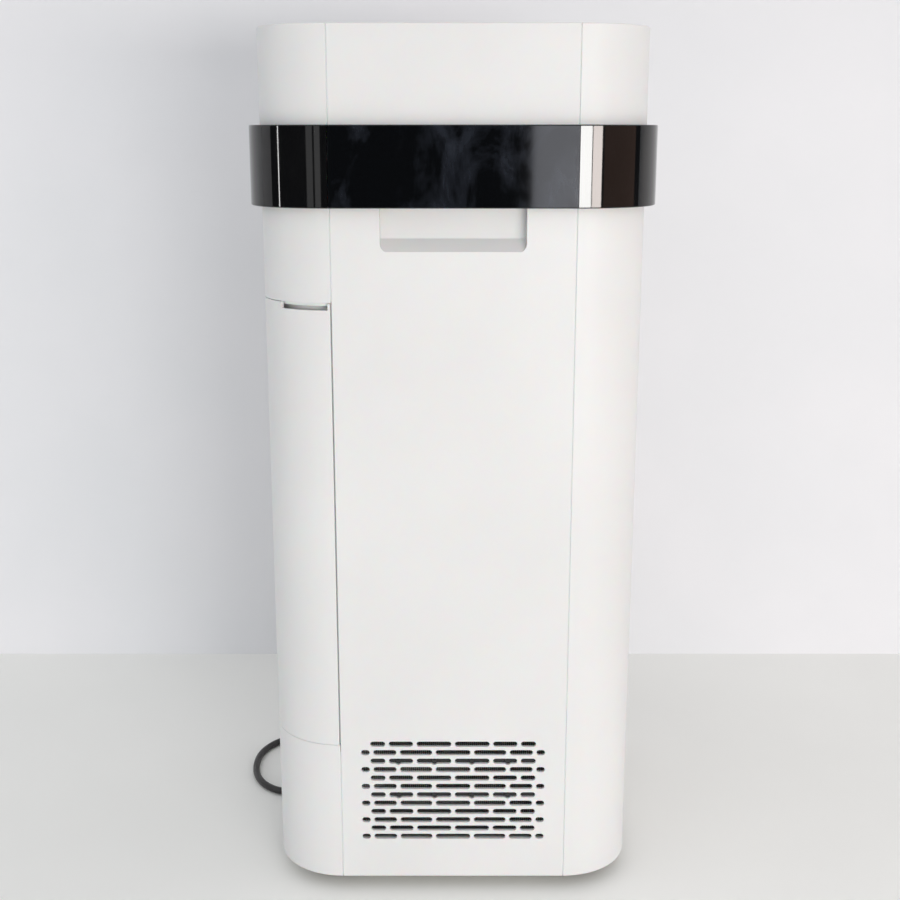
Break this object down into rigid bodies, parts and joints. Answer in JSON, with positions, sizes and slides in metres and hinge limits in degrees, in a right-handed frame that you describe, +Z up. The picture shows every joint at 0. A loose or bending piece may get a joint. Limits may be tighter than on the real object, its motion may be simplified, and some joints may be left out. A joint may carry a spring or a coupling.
{
  "type": "air purifier",
  "caption": "Tall air purifier with rounded corners: slotted pull-off front, filter drawers, black display band, tilting corner cover, fan under a top outlet, hidden casters and mains cord.",
  "frame": {"origin": "on the floor under the middle of the body, the loose mains cord left out", "axes": "+X to the right seen from the front, -Y out of the front, +Z up"},
  "size_m": [0.3833, 0.4236, 0.748],
  "materials": {
    "outer_white": "fine spark-textured ABS, matt",
    "inner_white": "plain moulded ABS",
    "band_black": "polished ABS",
    "display_window": "smoked acrylic, polished",
    "circuit_board": "solder mask over glass laminate",
    "display_digits": "diffusing segments, unlit",
    "magnet_nickel": "nickel plate",
    "plain_steel": "zinc plated",
    "insect_mesh": "woven nylon",
    "sensor_black": "moulded",
    "caster_grey": "moulded nylon",
    "wheel_rubber": "soft tread",
    "drawer_grey": "moulded ABS",
    "filter_mesh": "woven nylon",
    "ioniser_wire": "drawn wire",
    "collector_aluminium": "rolled sheet",
    "carbon_honeycomb": "carbon-filled honeycomb",
    "fan_black": "glass-filled nylon",
    "motor_zinc": "zinc plated sheet",
    "winding_copper": "enamelled winding",
    "potted_black": "potting resin in a moulded cup",
    "switch_black": "moulded nylon",
    "cord_black": "soft PVC, satin",
    "tie_black": "strap",
    "blade_brass": "nickel plated brass"
  },
  "bodies": {
    "housing": {"left_side_shell": "outer_white", "right_side_shell": "outer_white", "front_upper_panel": "outer_white", "magnet_strikes": "plain_steel", "rear_panel": "outer_white", "rear_screws": "plain_steel", "band_ring": "band_black", "display_lens": "display_window", "display_board": "circuit_board", "display_segments": "display_digits", "accessory_bay": "inner_white", "air_quality_sensor": "sensor_black", "base_pan": "inner_white", "caster_sockets": "caster_grey", "filter_housing": "inner_white", "fan_deck": "inner_white", "motor_housing": "motor_zinc", "motor_bearings": "plain_steel", "motor_stator": "winding_copper", "motor_mount": "inner_white", "fan_duct": "inner_white", "outlet_diffuser": "inner_white", "top_frame": "outer_white", "outlet_grille": "outer_white", "main_board": "circuit_board", "high_voltage_module": "potted_black", "power_supply": "motor_zinc", "switch_housing": "switch_black", "cord_gland": "cord_black", "mains_cord": "cord_black", "cord_coil": "cord_black", "cord_tie": "tie_black", "cord_tail": "cord_black", "plug": "cord_black", "plug_blades": "blade_brass"},
    "front_panel": {"front_panel": "outer_white", "panel_magnets": "magnet_nickel", "intake_screen": "insect_mesh"},
    "corner_cover": {"corner_cover": "outer_white"},
    "prefilter": {"prefilter_frame": "drawer_grey", "prefilter_mesh": "filter_mesh"},
    "ioniser": {"ioniser_frame": "drawer_grey", "ioniser_wires": "ioniser_wire"},
    "collector": {"collector_case": "drawer_grey", "collector_plates": "collector_aluminium"},
    "carbon_filter": {"carbon_frame": "drawer_grey", "carbon_block": "carbon_honeycomb"},
    "fan_rotor": {"impeller": "fan_black", "motor_shaft": "plain_steel", "impeller_nut": "plain_steel", "motor_rotor": "magnet_nickel"},
    "switch_rocker": {"switch_rocker": "switch_black"},
    "caster_front_left": {"caster_fork_front_left": "caster_grey"},
    "wheel_front_left": {"caster_wheel_front_left": "wheel_rubber"},
    "caster_front_right": {"caster_fork_front_right": "caster_grey"},
    "wheel_front_right": {"caster_wheel_front_right": "wheel_rubber"},
    "caster_rear_left": {"caster_fork_rear_left": "caster_grey"},
    "wheel_rear_left": {"caster_wheel_rear_left": "wheel_rubber"},
    "caster_rear_right": {"caster_fork_rear_right": "caster_grey"},
    "wheel_rear_right": {"caster_wheel_rear_right": "wheel_rubber"}
  },
  "joints": [
    {"name": "front_panel_pull", "type": "slide", "parent": "housing", "child": "front_panel", "axis": [0, -1, 0], "range_m": [0, 0.44]},
    {"name": "prefilter_draw", "type": "slide", "parent": "housing", "child": "prefilter", "axis": [0, -1, 0], "range_m": [0, 0.22]},
    {"name": "ioniser_draw", "type": "slide", "parent": "housing", "child": "ioniser", "axis": [0, -1, 0], "range_m": [0, 0.22]},
    {"name": "collector_draw", "type": "slide", "parent": "housing", "child": "collector", "axis": [0, -1, 0], "range_m": [0, 0.22]},
    {"name": "carbon_draw", "type": "slide", "parent": "housing", "child": "carbon_filter", "axis": [0, -1, 0], "range_m": [0, 0.22]},
    {"name": "corner_cover_tilt", "type": "hinge", "parent": "housing", "child": "corner_cover", "pos_m": [-0.14213, -0.13213, 0.1419], "axis": [0.7071, -0.7071, 0], "range_deg": [0, 35]},
    {"name": "fan_spin", "type": "hinge", "parent": "housing", "child": "fan_rotor", "pos_m": [0, 0, 0.5], "axis": [0, 0, 1], "continuous": true},
    {"name": "switch_rock", "type": "hinge", "parent": "housing", "child": "switch_rocker", "pos_m": [0.052, 0.145, 0.19], "axis": [-1, 0, 0], "range_deg": [0, 16]},
    {"name": "swivel_front_left", "type": "hinge", "parent": "housing", "child": "caster_front_left", "pos_m": [-0.11114, -0.10114, 0.045], "axis": [0, 0, 1], "continuous": true},
    {"name": "roll_front_left", "type": "hinge", "parent": "caster_front_left", "child": "wheel_front_left", "pos_m": [-0.11114, -0.08914, 0.017], "axis": [1, 0, 0], "continuous": true},
    {"name": "swivel_front_right", "type": "hinge", "parent": "housing", "child": "caster_front_right", "pos_m": [0.11114, -0.10114, 0.045], "axis": [0, 0, 1], "continuous": true},
    {"name": "roll_front_right", "type": "hinge", "parent": "caster_front_right", "child": "wheel_front_right", "pos_m": [0.11114, -0.08914, 0.017], "axis": [1, 0, 0], "continuous": true},
    {"name": "swivel_rear_left", "type": "hinge", "parent": "housing", "child": "caster_rear_left", "pos_m": [-0.11114, 0.10114, 0.045], "axis": [0, 0, 1], "continuous": true},
    {"name": "roll_rear_left", "type": "hinge", "parent": "caster_rear_left", "child": "wheel_rear_left", "pos_m": [-0.11114, 0.11314, 0.017], "axis": [1, 0, 0], "continuous": true},
    {"name": "swivel_rear_right", "type": "hinge", "parent": "housing", "child": "caster_rear_right", "pos_m": [0.11114, 0.10114, 0.045], "axis": [0, 0, 1], "continuous": true},
    {"name": "roll_rear_right", "type": "hinge", "parent": "caster_rear_right", "child": "wheel_rear_right", "pos_m": [0.11114, 0.11314, 0.017], "axis": [1, 0, 0], "continuous": true}
  ],
  "couplings": [
    {"joint": "prefilter_draw", "follows": "front_panel_pull", "ratio": 0.5},
    {"joint": "ioniser_draw", "follows": "front_panel_pull", "ratio": 0.5},
    {"joint": "collector_draw", "follows": "front_panel_pull", "ratio": 0.5},
    {"joint": "carbon_draw", "follows": "front_panel_pull", "ratio": 0.5}
  ]
}
